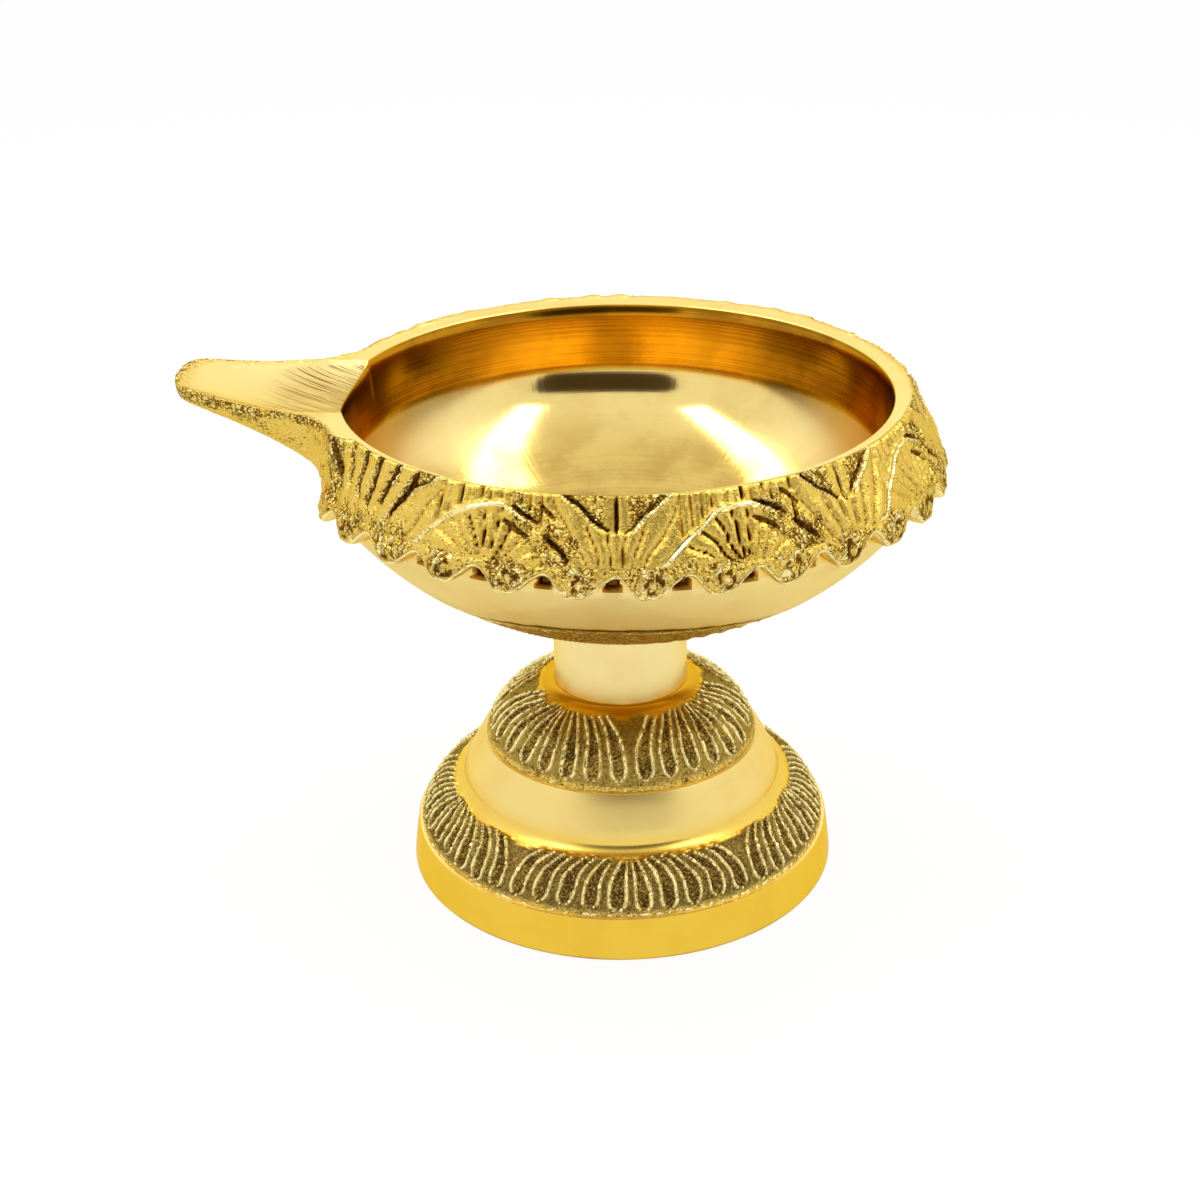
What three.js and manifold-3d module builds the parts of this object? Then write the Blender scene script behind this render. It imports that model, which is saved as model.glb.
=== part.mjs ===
// A small cast brass oil lamp: a shallow spouted bowl that screws onto a turned, two-tier hollow foot.
// Millimetres, +Z up, spout along -X, standing on Z = 0 with the middle of the overall box over the origin.

import * as THREE from 'three';
import { mergeVertices } from 'three/addons/utils/BufferGeometryUtils.js';
import Module from 'manifold-3d';

const wasm = await Module();
wasm.setup();

// Stand, from the floor up
const footRadius = 30.3;
const footBandHeight = 6;
const footBandTaper = 0.8;
const ledgeWidth = 0.3;
const lowerDomeHeight = 6.2;
const lowerDomeBulge = 0.8;
const lowerCoveRadius = 23.7;
const lowerCoveHeight = 1.5;
const waistBandRadius = 22.5;
const waistBandHeight = 5.5;
const waistBandTaper = 2.9;
const upperDomeHeight = 7.5;
const upperDomeBulge = 1.5;
const upperCoveRadius = 11.1;
const upperCoveHeight = 0.9;
const stemRadius = 9.35;
const stemHeight = 10.4;
const edgeChamfer = 0.4;

// Hollow under the stand
const footRingWidth = 3;
const standWall = 2.8;
const hollowRoof = 4.4;

// Joining stud and the holes it sits in
const studRadius = 4;
const threadPitch = 1.25;
const threadDepth = 0.7;
const studInStand = 10;
const studInBowl = 5;
const studClearance = 0.3;

// Bowl casting, measured from the seat on the stem
const bowlHeight = 32;
const rimRadius = 39.2;
const hemRadius = 43.4;
const hemDrop = 10;
const hemHeight = 3.6;
const hemShoulder = 1.5;
const hemShoulderLobe = 0.25;
const hemTuck = 0.9;
const hemOverhang = 0.6;
const lobeCount = 30;
const lobePhase = 2.5;
const lobeDepth = 1.5;
const lobeRise = 1.3;
const hemGapAngle = 22;
const hemGapTuck = 1.8;
const hemGapFull = 0.5;
const bellyRadius = 40.9;
const bellyHandleIn = 6.9;
const bellyHandleDown = 10.5;
const bellyFootHandle = 13;
const bellyFootRise = 1.8;
const bossRadius = 11;
const bossHeight = 1;

// The casting's outside stands a little off the turned bore, as it does on a hand-turned lamp
const castShift = new THREE.Vector2(0.8, 1.8);

// Turned inside of the bowl
const boreRadius = 36.2;
const boreDepth = 9;
const boreDraft = 0.5;
const boreChamfer = 0.4;
const floorHeight = 7.6;
const basinHandleDown = 12;
const basinFloorHandle = 20;

// Spout
const spoutReach = 58.4;
const spoutRoot = 34;
const spoutNeck = 40;
const spoutNeckHalfWidth = 11;
const spoutTipHalfWidth = 5.5;
const spoutFlare = 7;
const spoutTipRound = 4;
const spoutTipBlunt = 0.98;
const spoutRise = 2;
const spoutTipThickness = 2.9;
const spoutBeakIn = 13.9;
const spoutBeakDown = 4.5;
const channelLand = 1.6;
const channelDepth = 1.5;
const channelEnd = 3.5;
const channelLip = 0.02;

// Outlines of the spout and of its channel: share of the half width, share of the depth
const spoutOutline = [
  [1, 0], [-1, 0], [-0.97, 0.35], [-0.75, 0.8], [-0.35, 1], [0.35, 1], [0.75, 0.8], [0.97, 0.35],
];
const channelOutline = [[-1, 0], [-0.6, 0.75], [0, 1], [0.6, 0.75], [1, 0]];

// Steps round a full turn, and along curves
const standSteps = 72;
const basinSteps = 72;
const studSteps = 20;
const lobeSteps = 6;
const curveSteps = 5;
const bellySteps = 7;
const basinCurveSteps = 8;
const spoutSteps = 12;

// Levels that follow from the sizes
const lowerDomeZ = footBandHeight;
const lowerCoveZ = lowerDomeZ + lowerDomeHeight;
const waistZ = lowerCoveZ + lowerCoveHeight;
const upperDomeZ = waistZ + waistBandHeight;
const upperCoveZ = upperDomeZ + upperDomeHeight;
const stemZ = upperCoveZ + upperCoveHeight;
const seatZ = stemZ + stemHeight;
const rimZ = seatZ + bowlHeight;
const hemZ = rimZ - hemDrop;
const cutMargin = 5;
const weldTolerance = 1e-4;

const brass = { color: 0xd8b45a, roughness: 0.28, metalness: 1 };

// Closed triangle mesh with shared corners and no collapsed triangles
function weld(geometry) {
  const bare = geometry.clone();
  bare.deleteAttribute('normal');
  bare.deleteAttribute('uv');
  const merged = mergeVertices(bare, weldTolerance);
  const source = merged.index.array;
  const kept = [];
  for (let i = 0; i < source.length; i += 3) {
    const [a, b, c] = [source[i], source[i + 1], source[i + 2]];
    if (a !== b && b !== c && c !== a) {
      kept.push(a, b, c);
    }
  }
  merged.setIndex(kept);
  return merged;
}

function solid(geometry) {
  const welded = weld(geometry);
  const mesh = new wasm.Mesh({
    numProp: 3,
    vertProperties: new Float32Array(welded.attributes.position.array),
    triVerts: new Uint32Array(welded.index.array),
  });
  return new wasm.Manifold(mesh);
}

function geometryOf(manifold) {
  const mesh = manifold.getMesh();
  const geometry = new THREE.BufferGeometry();
  geometry.setAttribute('position', new THREE.BufferAttribute(mesh.vertProperties, 3));
  geometry.setIndex(new THREE.BufferAttribute(mesh.triVerts, 1));
  geometry.computeVertexNormals();
  return geometry;
}

// Adds a curve to a profile whose middle stands `bulge` away from the straight line, to its right
function bulgeTo(path, x, y, bulge) {
  const from = path.currentPoint.clone();
  const to = new THREE.Vector2(x, y);
  const along = to.clone().sub(from).normalize();
  const middle = from.add(to).multiplyScalar(0.5);
  path.quadraticCurveTo(middle.x + 2 * bulge * along.y, middle.y - 2 * bulge * along.x, x, y);
}

// Turns a profile of radius and height round the Z axis
function turned(points, steps) {
  return new THREE.LatheGeometry(points, steps).rotateX(Math.PI / 2);
}

// Skin through a row of like sections, closed at both ends
function loft(sections) {
  const around = sections[0].length;
  const positions = sections.flat().flatMap((point) => [point.x, point.y, point.z]);
  const indices = [];
  for (let row = 0; row + 1 < sections.length; row += 1) {
    for (let i = 0; i < around; i += 1) {
      const a = row * around + i;
      const b = row * around + (i + 1) % around;
      indices.push(a, b, a + around, b, b + around, a + around);
    }
  }
  const last = (sections.length - 1) * around;
  for (let i = 1; i + 1 < around; i += 1) {
    indices.push(0, i + 1, i);
    indices.push(last, last + i, last + i + 1);
  }
  const geometry = new THREE.BufferGeometry();
  geometry.setAttribute('position', new THREE.Float32BufferAttribute(positions, 3));
  geometry.setIndex(indices);
  return geometry;
}

// Stand: one hollow casting, turned outside, with a blind hole for the stud in the top of its stem
function standGeometry() {
  const bandTop = footRadius - footBandTaper;
  const waistTop = waistBandRadius - waistBandTaper;
  const outside = new THREE.Path();
  outside.moveTo(footRadius - edgeChamfer, 0);
  outside.lineTo(footRadius, edgeChamfer);
  outside.lineTo(bandTop, footBandHeight);
  outside.lineTo(bandTop - ledgeWidth, lowerDomeZ);
  bulgeTo(outside, lowerCoveRadius, lowerCoveZ, lowerDomeBulge);
  outside.lineTo(waistBandRadius, waistZ);
  outside.lineTo(waistTop, upperDomeZ);
  outside.lineTo(waistTop - ledgeWidth, upperDomeZ);
  bulgeTo(outside, upperCoveRadius, upperCoveZ, upperDomeBulge);
  outside.lineTo(stemRadius, stemZ);
  outside.lineTo(stemRadius, seatZ - edgeChamfer);
  outside.lineTo(stemRadius - edgeChamfer, seatZ);

  // The hollow follows the outside one wall thickness in
  const holeRadius = studRadius + studClearance;
  const holeZ = seatZ - studInStand - studClearance;
  const inside = new THREE.Path();
  inside.moveTo(0, holeZ - hollowRoof);
  inside.lineTo(upperCoveRadius - standWall, holeZ - hollowRoof);
  bulgeTo(inside, waistTop - standWall - ledgeWidth, upperDomeZ - standWall / 2, -upperDomeBulge);
  inside.lineTo(waistBandRadius - standWall, waistZ - standWall / 2);
  inside.lineTo(lowerCoveRadius - standWall, lowerCoveZ - standWall / 2);
  bulgeTo(inside, bandTop - footRingWidth, footBandHeight - standWall / 2, -lowerDomeBulge);
  inside.lineTo(footRadius - footRingWidth, 0);

  const outer = outside.getPoints(curveSteps);
  const inner = inside.getPoints(curveSteps);
  const body = solid(turned([...inner, ...outer, new THREE.Vector2(0, seatZ)], standSteps));
  const drill = solid(turned([
    new THREE.Vector2(0, holeZ),
    new THREE.Vector2(holeRadius, holeZ),
    new THREE.Vector2(holeRadius, seatZ + cutMargin),
    new THREE.Vector2(0, seatZ + cutMargin),
  ], studSteps));
  return geometryOf(body.subtract(drill));
}

// Stud: a threaded rod whose top end bears on the end of the bowl's hole, drawn with closed ridges
// in place of a spiral
function studGeometry() {
  const bottom = seatZ - studInStand;
  const top = seatZ + studInBowl;
  const root = studRadius - threadDepth;
  const profile = [new THREE.Vector2(0, bottom), new THREE.Vector2(root, bottom)];
  const ridges = Math.floor((top - bottom) / threadPitch);
  for (let i = 0; i < ridges; i += 1) {
    profile.push(new THREE.Vector2(studRadius, bottom + (i + 0.5) * threadPitch));
    if (i + 1 < ridges) {
      profile.push(new THREE.Vector2(root, bottom + (i + 1) * threadPitch));
    }
  }
  profile.push(new THREE.Vector2(root, top), new THREE.Vector2(0, top));
  return turned(profile, studSteps);
}

// Height of a lobe of the hem at an angle: 1 at its middle, 0 in the notch beside it
function lobeWave(angle) {
  return Math.abs(Math.cos((angle - THREE.MathUtils.degToRad(lobePhase)) * lobeCount / 2));
}

// How far the hem is drawn in under the spout: 1 below the spout's middle, 0 past the gap
function hemGap(angle) {
  const off = Math.PI - Math.abs(angle);
  return THREE.MathUtils.smoothstep(1 - off / THREE.MathUtils.degToRad(hemGapAngle), 0, hemGapFull);
}

// Outside of the bowl casting: skirt, lobed hem and belly, closed across the rim
function castOutside() {
  const bellyZ = hemZ - hemHeight / 2 + hemOverhang;
  const footZ = seatZ + bossHeight;
  const belly = new THREE.CubicBezierCurve(
    new THREE.Vector2(bossRadius, footZ),
    new THREE.Vector2(bossRadius + bellyFootHandle, footZ + bellyFootRise),
    new THREE.Vector2(bellyRadius - bellyHandleIn, bellyZ - bellyHandleDown),
    new THREE.Vector2(bellyRadius, bellyZ),
  );
  const rows = [{ r: 0, z: footZ, lobe: 0 }];
  for (const point of belly.getPoints(bellySteps)) {
    rows.push({ r: point.x, z: point.y, lobe: 0 });
  }
  rows.push(
    { r: hemRadius - hemTuck, z: hemZ - hemHeight / 2, lobe: 1 },
    { r: hemRadius, z: hemZ, lobe: 1 },
    { r: hemRadius - hemShoulder, z: hemZ + hemHeight / 2, lobe: hemShoulderLobe },
    { r: rimRadius, z: rimZ, lobe: 0 },
    { r: 0, z: rimZ, lobe: 0 },
  );

  // Turned so that every notch of the hem falls on a row of corners
  const geometry = turned(rows.map((row) => new THREE.Vector2(row.r, row.z)), lobeCount * lobeSteps);
  geometry.rotateZ(THREE.MathUtils.degToRad(lobePhase));
  const position = geometry.attributes.position;
  for (let i = 0; i < position.count; i += 1) {
    const row = rows[i % rows.length];
    if (row.lobe > 0) {
      const angle = Math.atan2(position.getY(i), position.getX(i));
      const gap = hemGap(angle);
      const notch = (1 - lobeWave(angle)) * row.lobe * (1 - gap);
      const radius = row.r - lobeDepth * notch - hemGapTuck * gap * row.lobe;
      const rise = row.z < hemZ ? lobeRise * notch : 0;
      position.setXYZ(i, radius * Math.cos(angle), radius * Math.sin(angle), row.z + rise);
    }
  }
  return geometry.translate(castShift.x, castShift.y, 0);
}

function spoutHalfWidth(reach) {
  const along = (reach - spoutNeck) / (spoutReach - spoutNeck);
  const straight = THREE.MathUtils.lerp(spoutNeckHalfWidth, spoutTipHalfWidth, Math.max(along, 0));
  const flare = spoutFlare * Math.max((spoutNeck - reach) / (spoutNeck - spoutRoot), 0) ** 2;
  const intoTip = Math.min(Math.max((reach - spoutReach + spoutTipRound) / spoutTipRound, 0), spoutTipBlunt);
  return (straight + flare) * Math.sqrt(1 - intoTip ** 3);
}

function spoutTop(reach) {
  const along = Math.max((reach - spoutNeck) / (spoutReach - spoutNeck), 0);
  return rimZ + spoutRise * along ** 2;
}

// Spout: flat on top, upturned to a blunt tip, with a beak-shaped underside that runs into the hem
function spoutGeometry() {
  const tipZ = rimZ + spoutRise - spoutTipThickness;
  const underside = new THREE.QuadraticBezierCurve(
    new THREE.Vector2(spoutReach, tipZ),
    new THREE.Vector2(spoutReach - spoutBeakIn, tipZ - spoutBeakDown),
    new THREE.Vector2(spoutRoot, hemZ - hemHeight / 2),
  );
  const sections = underside.getPoints(spoutSteps).map((point) => {
    const half = spoutHalfWidth(point.x);
    const top = spoutTop(point.x);
    const deep = top - point.y;
    return spoutOutline.map(([across, down]) => (
      new THREE.Vector3(-point.x, across * half, top - down * deep)
    ));
  });
  return loft(sections);
}

// Channel: a shallow trough that runs out from the bore and fades before the tip
function channelGeometry() {
  const outer = spoutReach - channelEnd;
  const inner = spoutRoot - cutMargin;
  const sections = [];
  for (let i = 0; i <= spoutSteps; i += 1) {
    const reach = THREE.MathUtils.lerp(outer, inner, i / spoutSteps);
    const half = spoutHalfWidth(Math.max(reach, spoutNeck)) - channelLand;
    const top = spoutTop(reach);
    const depth = channelDepth * Math.min((outer - reach) / (outer - boreRadius), 1) + channelLip;
    sections.push([
      new THREE.Vector3(-reach, half, top + cutMargin),
      new THREE.Vector3(-reach, -half, top + cutMargin),
      ...channelOutline.map(([across, down]) => new THREE.Vector3(-reach, across * half, top - down * depth)),
    ]);
  }
  return loft(sections);
}

// Basin: the turned inside of the bowl, run on above the rim so that it cuts the spout's root too
function basinGeometry() {
  const wallZ = rimZ - boreDepth;
  const wallRadius = boreRadius - boreDraft;
  const floorZ = seatZ + floorHeight;
  const profile = new THREE.Path();
  profile.moveTo(0, floorZ);
  profile.bezierCurveTo(
    basinFloorHandle, floorZ,
    wallRadius, wallZ - basinHandleDown,
    wallRadius, wallZ,
  );
  profile.lineTo(boreRadius, rimZ - boreChamfer);
  profile.lineTo(boreRadius + boreChamfer, rimZ);
  profile.lineTo(boreRadius + boreChamfer, rimZ + spoutRise + cutMargin);
  profile.lineTo(0, rimZ + spoutRise + cutMargin);
  return turned(profile.getPoints(basinCurveSteps), basinSteps);
}

function bowlGeometry() {
  const holeRadius = studRadius + studClearance;
  const holeTop = seatZ + studInBowl;
  const boss = turned([
    new THREE.Vector2(0, seatZ),
    new THREE.Vector2(bossRadius - edgeChamfer, seatZ),
    new THREE.Vector2(bossRadius, seatZ + edgeChamfer),
    new THREE.Vector2(bossRadius, seatZ + bossHeight + edgeChamfer),
    new THREE.Vector2(0, seatZ + bossHeight + edgeChamfer),
  ], standSteps);
  const drill = turned([
    new THREE.Vector2(0, seatZ - cutMargin),
    new THREE.Vector2(holeRadius, seatZ - cutMargin),
    new THREE.Vector2(holeRadius, holeTop),
    new THREE.Vector2(0, holeTop),
  ], studSteps);
  const cast = solid(castOutside()).add(solid(boss)).add(solid(spoutGeometry()));
  return geometryOf(
    cast.subtract(solid(channelGeometry())).subtract(solid(basinGeometry())).subtract(solid(drill)),
  );
}

function piece(name, geometry) {
  const mesh = new THREE.Mesh(geometry, new THREE.MeshStandardMaterial(brass));
  mesh.name = name;
  return mesh;
}

const lamp = new THREE.Group();
lamp.add(
  piece('stand', standGeometry()),
  piece('joining_stud', studGeometry()),
  piece('bowl', bowlGeometry()),
);

// The middle of the overall box goes over the origin
const middle = new THREE.Box3().setFromObject(lamp).getCenter(new THREE.Vector3());
lamp.position.set(-middle.x, -middle.y, 0);
lamp.updateMatrixWorld(true);

export default lamp;
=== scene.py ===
import math

import bmesh
import bpy
from mathutils import Matrix, Vector, noise


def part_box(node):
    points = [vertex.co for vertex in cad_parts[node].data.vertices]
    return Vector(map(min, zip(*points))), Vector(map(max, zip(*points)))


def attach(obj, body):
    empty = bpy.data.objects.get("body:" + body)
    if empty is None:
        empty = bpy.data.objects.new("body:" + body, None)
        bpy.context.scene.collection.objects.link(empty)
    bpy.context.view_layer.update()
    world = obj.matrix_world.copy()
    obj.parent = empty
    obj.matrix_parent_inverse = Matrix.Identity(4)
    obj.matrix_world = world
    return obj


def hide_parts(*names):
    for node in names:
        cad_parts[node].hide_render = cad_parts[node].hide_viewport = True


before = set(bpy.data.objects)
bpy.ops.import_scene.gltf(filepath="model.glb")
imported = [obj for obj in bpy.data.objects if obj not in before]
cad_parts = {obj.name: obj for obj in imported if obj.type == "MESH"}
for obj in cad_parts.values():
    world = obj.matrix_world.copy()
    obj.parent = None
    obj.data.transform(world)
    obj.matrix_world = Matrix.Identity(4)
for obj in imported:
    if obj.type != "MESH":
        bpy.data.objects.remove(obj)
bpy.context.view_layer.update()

mm = 0.001
standLow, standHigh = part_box("stand")
stemAxis = Vector(((standLow[0] + standHigh[0]) / 2, (standLow[1] + standHigh[1]) / 2, 0))


# Camera, where the photograph was taken from

photoCamera = {
    "distance": 240.0,  # mm from the stem's axis, measured level
    "height": 153.1,  # mm above the table
    "turn": 3.0,  # degrees round the stem, to the right
    "pitch": 25.45,
    "roll": -0.6,
    "sensorWidth": 36,  # mm, as the lens
    "lens": 57.4,
    "shiftX": -0.0165,
}


def placeCamera():
    camera = bpy.data.objects.new("photoCamera", bpy.data.cameras.new("photoCamera"))
    bpy.context.scene.collection.objects.link(camera)
    turn = math.radians(photoCamera["turn"])
    away = Vector((math.sin(turn), -math.cos(turn), 0)) * photoCamera["distance"] * mm
    camera.location = stemAxis + away + Vector((0, 0, photoCamera["height"] * mm))
    camera.rotation_euler = (math.radians(90 - photoCamera["pitch"]), 0, turn)
    camera.rotation_euler.rotate_axis("Z", math.radians(photoCamera["roll"]))
    camera.data.sensor_width = photoCamera["sensorWidth"]
    camera.data.lens = photoCamera["lens"]
    camera.data.shift_x = photoCamera["shiftX"]
    camera.data.clip_start = 0.01
    bpy.context.scene.camera = camera


placeCamera()
print("camera placed")


# Materials: a Wire is one output of a node, and sums on it add Math nodes

class Wire:
    def __init__(self, paint, socket):
        self.paint = paint
        self.socket = socket

    def sum(self, operation, *values):
        return self.paint.node("ShaderNodeMath", {"operation": operation}, values)

    def __add__(self, other):
        return self.sum("ADD", self, other)

    def __radd__(self, other):
        return self.sum("ADD", other, self)

    def __sub__(self, other):
        return self.sum("SUBTRACT", self, other)

    def __rsub__(self, other):
        return self.sum("SUBTRACT", other, self)

    def __mul__(self, other):
        return self.sum("MULTIPLY", self, other)

    def __rmul__(self, other):
        return self.sum("MULTIPLY", other, self)

    def __truediv__(self, other):
        return self.sum("DIVIDE", self, other)

    def __rtruediv__(self, other):
        return self.sum("DIVIDE", other, self)

    def __pow__(self, other):
        return self.sum("POWER", self, other)

    def __rpow__(self, other):
        return self.sum("POWER", other, self)

    def between(self, low, high):  # 0 below low, 1 above high, eased
        sockets = {"Value": self, "From Min": low, "From Max": high}
        return self.paint.node("ShaderNodeMapRange", {"interpolation_type": "SMOOTHSTEP"}, sockets)


class Paint:
    def __init__(self, owner):  # a new material or world
        owner.use_nodes = True
        self.owner = owner
        self.tree = owner.node_tree
        self.tree.nodes.clear()

    def node(self, kind, settings=None, sockets=(), output=0):
        made = self.tree.nodes.new(kind)
        for name, value in (settings or {}).items():
            setattr(made, name, value)
        pairs = sockets.items() if isinstance(sockets, dict) else enumerate(sockets)
        for slot, value in pairs:
            if isinstance(value, Wire):
                self.tree.links.new(value.socket, made.inputs[slot])
            elif value is not None:
                made.inputs[slot].default_value = value
        return Wire(self, made.outputs[output]) if made.outputs else None

    def mix(self, factor, first, second):
        sockets = {0: factor, 6: opaque(first), 7: opaque(second)}
        return self.node("ShaderNodeMix", {"data_type": "RGBA"}, sockets, output=2)

    def split(self, where):  # the three numbers of a vector
        parts = self.node("ShaderNodeSeparateXYZ", None, [where])
        return [Wire(self, socket) for socket in parts.socket.node.outputs]

    def join(self, *numbers):  # and back
        return self.node("ShaderNodeCombineXYZ", None, numbers)

    def place(self):  # Object coordinates in mm
        spot = self.node("ShaderNodeTexCoord", output=3)
        return self.node("ShaderNodeVectorMath", {"operation": "SCALE"}, {0: spot, "Scale": 1 / mm})

    def noise(self, where, scale=1.0, detail=3.0, roughness=0.55, distortion=0.0):
        sockets = {"Vector": where, "Scale": scale, "Detail": detail, "Roughness": roughness}
        return self.node("ShaderNodeTexNoise", None, {**sockets, "Distortion": distortion})

    def layer(self, name):  # a number painted on the mesh's corners
        return self.node("ShaderNodeAttribute", {"attribute_name": name}, output=2)

    def finish(self, surface, kind="ShaderNodeOutputMaterial"):
        self.node(kind, None, {"Surface": surface})
        return self.owner


def opaque(colour):
    return colour if isinstance(colour, Wire) else (*colour, 1)


# Pale floor and studio light

studio = {
    "floorSize": 3.0,  # m, as all sizes and spots here
    "floorColour": (0.86, 0.86, 0.86),
    "backdropShare": 0.9,  # how far the floor shows plain white, the rest keeps the shadow
    "sky": 0.95,
    "panels": {  # long soft lamps above both sides, mirrored in the polished floor of the bowl
        "left": {
            "spot": (-0.20, 0.035, 0.40), "along": (0.0, 1.0, 0.0), "size": (0.54, 0.09), "power": 0.80,
        },
        "right": {
            "spot": (0.205, 0.045, 0.40), "along": (-0.35, 0.94, 0.0), "size": (0.56, 0.095), "power": 0.80,
        },
    },
    "darkCard": {  # for the dark things round the camera, as the metal mirrors them
        "spot": (0.032, -0.149, 0.138), "size": (0.221, 0.084), "corner": 0.032,
        "colour": (0.05, 0.035, 0.022),
    },
    "aimHeight": 0.05,  # where on the stem's axis the lamps and the card are aimed
}


def makeSheet(name, across, deep, material, corner=0):
    form = bmesh.new()
    bmesh.ops.create_grid(form, x_segments=1, y_segments=1, size=0.5)
    bmesh.ops.scale(form, vec=(across, deep, 1), verts=form.verts[:])
    if corner:
        bmesh.ops.bevel(form, geom=form.verts[:], offset=corner, segments=5, profile=0.5, affect="VERTICES")
    mesh = bpy.data.meshes.new(name)
    form.to_mesh(mesh)
    form.free()
    sheet = bpy.data.objects.new(name, mesh)
    bpy.context.scene.collection.objects.link(sheet)
    mesh.materials.append(material)
    return sheet


# Puts a flat thing at a spot, its face to the stem's axis, its length along a direction
def aimAt(thing, spot, along):
    away = (Vector(spot) - stemAxis - Vector((0, 0, studio["aimHeight"]))).normalized()
    side = (Vector(along) - away * away.dot(Vector(along))).normalized()
    thing.location = spot
    thing.rotation_euler = Matrix((side, away.cross(side), away)).transposed().to_euler()


# 1 for the rays that should meet a white backdrop: the camera's, and those that metal mirrors
def seenWhite(paint):
    seen = paint.node("ShaderNodeLightPath", output="Is Camera Ray")
    for kind in ("Is Glossy Ray", "Is Transmission Ray"):
        seen = seen.sum("MAXIMUM", seen, paint.node("ShaderNodeLightPath", output=kind))
    return seen


def makeSky():
    world = Paint(bpy.data.worlds.new("studioSky"))
    seen = seenWhite(world)
    strength = seen + (1 - seen) * studio["sky"]
    glow = world.node("ShaderNodeBackground", None, {"Color": opaque((1, 1, 1)), "Strength": strength})
    bpy.context.scene.world = world.finish(glow, "ShaderNodeOutputWorld")


def makeFloor():
    cloth = Paint(bpy.data.materials.new("studioFloor"))
    matt = cloth.node("ShaderNodeBsdfDiffuse", None, {"Color": opaque(studio["floorColour"])})
    white = cloth.node("ShaderNodeEmission", None, {"Color": opaque((1, 1, 1)), "Strength": 1.0})
    mixed = cloth.node("ShaderNodeMixShader", None, [seenWhite(cloth) * studio["backdropShare"], matt, white])
    makeSheet("studioFloor", studio["floorSize"], studio["floorSize"], cloth.finish(mixed))


def makeCard():
    card = studio["darkCard"]
    black = Paint(bpy.data.materials.new("darkCard"))
    matt = black.node("ShaderNodeBsdfDiffuse", None, {"Color": opaque(card["colour"])})
    dark = makeSheet("darkCard", *card["size"], black.finish(matt), card["corner"])
    aimAt(dark, card["spot"], (1, 0, 0))
    dark.visible_camera = False
    dark.visible_diffuse = False
    dark.visible_shadow = False


def makeLamps():
    for name, panel in studio["panels"].items():
        light = bpy.data.lights.new(name + "Panel", "AREA")
        light.shape = "RECTANGLE"
        light.size, light.size_y = panel["size"]
        light.energy = panel["power"]
        lamp = bpy.data.objects.new(name + "Panel", light)
        aimAt(lamp, panel["spot"], panel["along"])
        bpy.context.scene.collection.objects.link(lamp)


makeSky()
makeFloor()
makeCard()
makeLamps()
bpy.context.scene.view_settings.view_transform = "Standard"
print("studio lit")


# Brass: one finish for all three pieces, which the numbers on their corners change from place to place

brassFinish = {
    "polished": (0.95, 0.77, 0.33),
    # yellow and the orange below it are painted reflection, at half and at full strength
    "yellow": (0.88, 0.58, 0.060),
    "warm": (0.76, 0.35, 0.012),  # painted reflection: orange of the metal mirrored in itself, as in the bore's wall, the coves and the foot band
    "film": (0.20, 0.075, 0.008),  # brown of an old oil film, and painted shade where the wall and floor of the bowl mirror darker things
    "casting": (0.79, 0.53, 0.085),
    # painted highlight: bright colour of the cast skin's grains, curls and raised lines
    "paintedHighlight": (1.0, 0.84, 0.36),
    "pit": (0.13, 0.045, 0.002),
    "ground": (0.27, 0.175, 0.047),  # dark patina between the petals, light and dark
    "groundDark": (0.085, 0.044, 0.006),
    "grazing": (1.0, 0.86, 0.44),  # tint of what is mirrored at a flat angle
    "mirrorRoughness": 0.09,
    "satinRoughness": 0.33,
    "castRoughness": 0.33,
    "ringsPerMm": 4.0,  # how fine each pattern is: lathe rings, then clouds, grain, blotches and worms per mm
    "cloudScale": 0.12,
    "grainScale": 3.2,
    "blotchScale": 0.45,
    "wormScale": 1.25,
    "spokeCircle": 48,  # the wider, the more fine spokes run to the bowl's middle
    "fileAcross": (0.50, 0.87),  # direction across the file marks in the spout
    "filePerMm": 4.2,
    "ringHeight": 0.004,  # mm
    "spokeHeight": 0.008,
    "pitDepth": 0.16,
    "grainHeight": 0.12,
    "curlHeight": 0.26,
}

# Numbers painted on a casting's corners: cast is 1 where the sand-cast skin was left, patina is how dark its
# ground is, pitted how thickly pits crowd in it, crest marks the raised lines, which get a painted highlight,
# and groove the deep cuts, which get painted shade; the warm tint is a painted reflection of the metal in
# itself, the brown film is old oil together with painted shade, and mirror is 1 where it was buffed bright
# and below 0 where brushed
brassLayers = ("cast", "patina", "pitted", "crest", "groove", "warm", "film", "mirror")
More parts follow.
